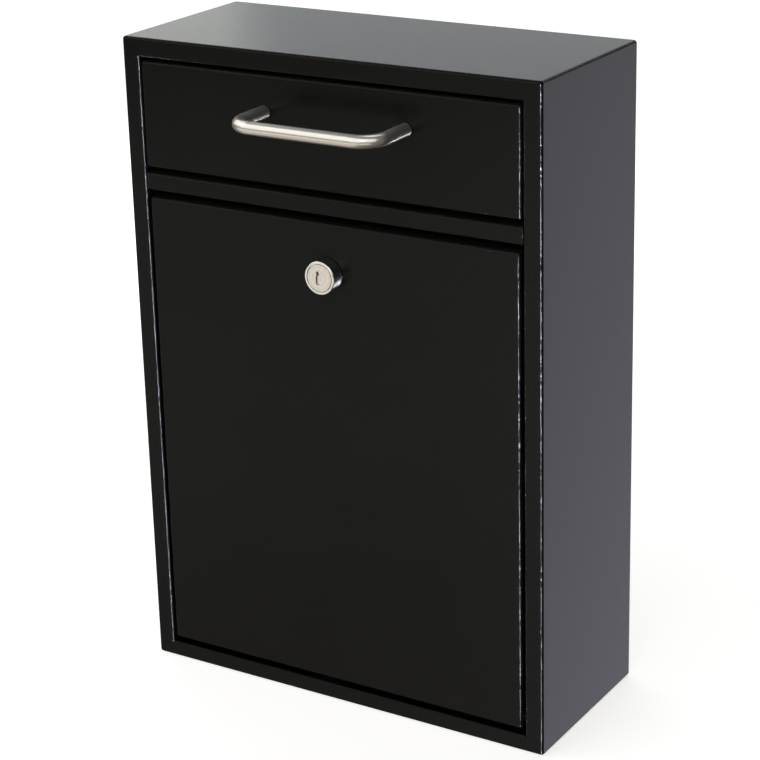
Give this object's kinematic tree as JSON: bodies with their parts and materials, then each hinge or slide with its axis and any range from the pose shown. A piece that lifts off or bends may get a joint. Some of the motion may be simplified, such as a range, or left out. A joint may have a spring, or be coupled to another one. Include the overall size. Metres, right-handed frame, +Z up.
{
  "type": "parcel drop box",
  "caption": "Wall-hung sheet-steel drop box with a pull-down deposit hopper above and a drop-down access door with a cam lock below.",
  "frame": {"origin": "middle of the cabinet's flat underside", "axes": "+X to the right seen from the front, +Y to the back (towards the wall), +Z up"},
  "size_m": [0.2846, 0.1594, 0.4115],
  "materials": {
    "powder_coated_steel": "semi-gloss fine-texture black powder coat",
    "satin_stainless": "satin",
    "chromed_zinc": "polished",
    "nickel_silver": "fine satin",
    "zinc_plate": "bright zinc plate",
    "wafer_brass": "stamped",
    "black_rubber": "matte"
  },
  "bodies": {
    "cabinet": {"anti_fishing_baffle": "powder_coated_steel", "back_panel": "powder_coated_steel", "cabinet_wrap": "powder_coated_steel", "divider_rail": "powder_coated_steel", "door_bumper_left": "black_rubber", "door_bumper_right": "black_rubber", "door_pin_clip_left": "zinc_plate", "door_pin_clip_right": "zinc_plate", "door_pin_left": "zinc_plate", "door_pin_right": "zinc_plate", "door_stop_left": "powder_coated_steel", "door_stop_right": "powder_coated_steel", "hopper_bumper_left": "black_rubber", "hopper_bumper_right": "black_rubber", "hopper_pin_clip_left": "zinc_plate", "hopper_pin_clip_right": "zinc_plate", "hopper_pin_left": "zinc_plate", "hopper_pin_right": "zinc_plate", "hopper_stop_left": "powder_coated_steel", "hopper_stop_right": "powder_coated_steel"},
    "hopper": {"hopper_panel": "powder_coated_steel", "hopper_tray": "powder_coated_steel", "hopper_cheek_left": "powder_coated_steel", "hopper_cheek_right": "powder_coated_steel", "pull_handle": "satin_stainless", "handle_screw_left": "zinc_plate", "handle_screw_right": "zinc_plate", "handle_washer_left": "zinc_plate", "handle_washer_right": "zinc_plate"},
    "access_door": {"access_door_panel": "powder_coated_steel", "lock_housing": "chromed_zinc", "lock_washer": "zinc_plate", "lock_nut": "zinc_plate"},
    "lock_cylinder": {"lock_plug": "nickel_silver", "keyway_shutter": "chromed_zinc", "lock_cam": "zinc_plate", "cam_washer": "zinc_plate", "cam_screw": "zinc_plate", "lock_wafer_1": "wafer_brass", "lock_wafer_2": "wafer_brass", "lock_wafer_3": "wafer_brass", "lock_wafer_4": "wafer_brass", "lock_wafer_5": "wafer_brass"}
  },
  "joints": [
    {"name": "hopper_tilt", "type": "hinge", "parent": "cabinet", "child": "hopper", "pos_m": [0, -0.0517, 0.3396], "axis": [1, 0, 0], "range_deg": [0, 50]},
    {"name": "access_door_swing", "type": "hinge", "parent": "cabinet", "child": "access_door", "pos_m": [0, -0.0517, 0.019], "axis": [1, 0, 0], "range_deg": [0, 90]},
    {"name": "lock_turn", "type": "hinge", "parent": "access_door", "child": "lock_cylinder", "pos_m": [0, -0.0597, 0.282], "axis": [0, 1, 0], "range_deg": [0, 90]}
  ]
}
